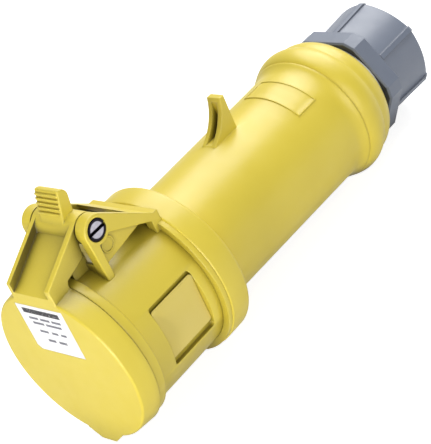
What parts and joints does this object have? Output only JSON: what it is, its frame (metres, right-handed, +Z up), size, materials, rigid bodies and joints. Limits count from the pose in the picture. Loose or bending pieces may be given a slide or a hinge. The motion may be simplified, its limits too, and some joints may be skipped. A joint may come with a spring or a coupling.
{
  "type": "industrial cable coupler",
  "caption": "Hand-held industrial socket for a flexible cable, with round pin contacts, a sprung hinged lid with a thumb tab, a finger hook and a screwed cable gland.",
  "frame": {"origin": "centre of the closed lid's round front face, on the coupler's long axis", "axes": "+Y along the coupler's axis from the lid to the cable gland, +Z up to the lid's hinge and the finger hook, +X to the side with the slotted head of the hinge pin"},
  "size_m": [0.0646, 0.1936, 0.0908],
  "materials": {
    "yellow_shell": "satin moulded",
    "marking_plate": "matte moulded",
    "label_film": "matte film",
    "grey_gland": "satin moulded",
    "insert_plastic": "matte moulded",
    "cage_plastic": "matte moulded",
    "seal_rubber": "matte",
    "contact_brass": "turned",
    "pin_steel": "plated",
    "screw_steel": "plated"
  },
  "bodies": {
    "root": {"socket_collar": "yellow_shell", "marking_plate_right": "marking_plate", "marking_plate_left": "marking_plate", "lock_screw": "screw_steel", "hinge_bracket": "yellow_shell", "hinge_pin": "pin_steel", "hinge_pin_clip": "pin_steel", "lid_spring": "screw_steel", "handle_housing": "yellow_shell", "contact_insert": "insert_plastic", "contact_retainer": "insert_plastic", "retainer_screw": "screw_steel", "collar_seal": "seal_rubber", "earth_contact": "contact_brass", "line_contact": "contact_brass", "neutral_contact": "contact_brass", "earth_contact_ring": "screw_steel", "line_contact_ring": "screw_steel", "neutral_contact_ring": "screw_steel", "earth_terminal_screw": "screw_steel", "line_terminal_screw": "screw_steel", "neutral_terminal_screw": "screw_steel", "insert_screw_right": "screw_steel", "insert_screw_left": "screw_steel", "gland_seal": "seal_rubber", "gland_cage": "cage_plastic"},
    "hinged_lid": {"lid": "yellow_shell", "lid_gasket": "seal_rubber", "lid_label": "label_film"},
    "gland_slide": {"thrust_washer": "cage_plastic"},
    "gland_screw": {"gland_nut": "grey_gland"}
  },
  "joints": [
    {"name": "lid_hinge", "type": "hinge", "parent": "root", "child": "hinged_lid", "pos_m": [0, 0.024, 0.0425], "axis": [-1, 0, 0], "range_deg": [0, 115], "stiffness_Nm_per_rad": 0.03, "springref_deg": -85.94, "deforming": ["lid_spring"]},
    {"name": "gland_travel", "type": "slide", "parent": "root", "child": "gland_slide", "axis": [0, 1, 0], "range_m": [0, 0.004]},
    {"name": "gland_turn", "type": "hinge", "parent": "gland_slide", "child": "gland_screw", "pos_m": [0, 0.17, 0], "axis": [0, 1, 0], "range_deg": [0, 720]}
  ],
  "couplings": [
    {"joint": "gland_travel", "follows": "gland_turn", "m_per_rad": 0.0003183}
  ]
}
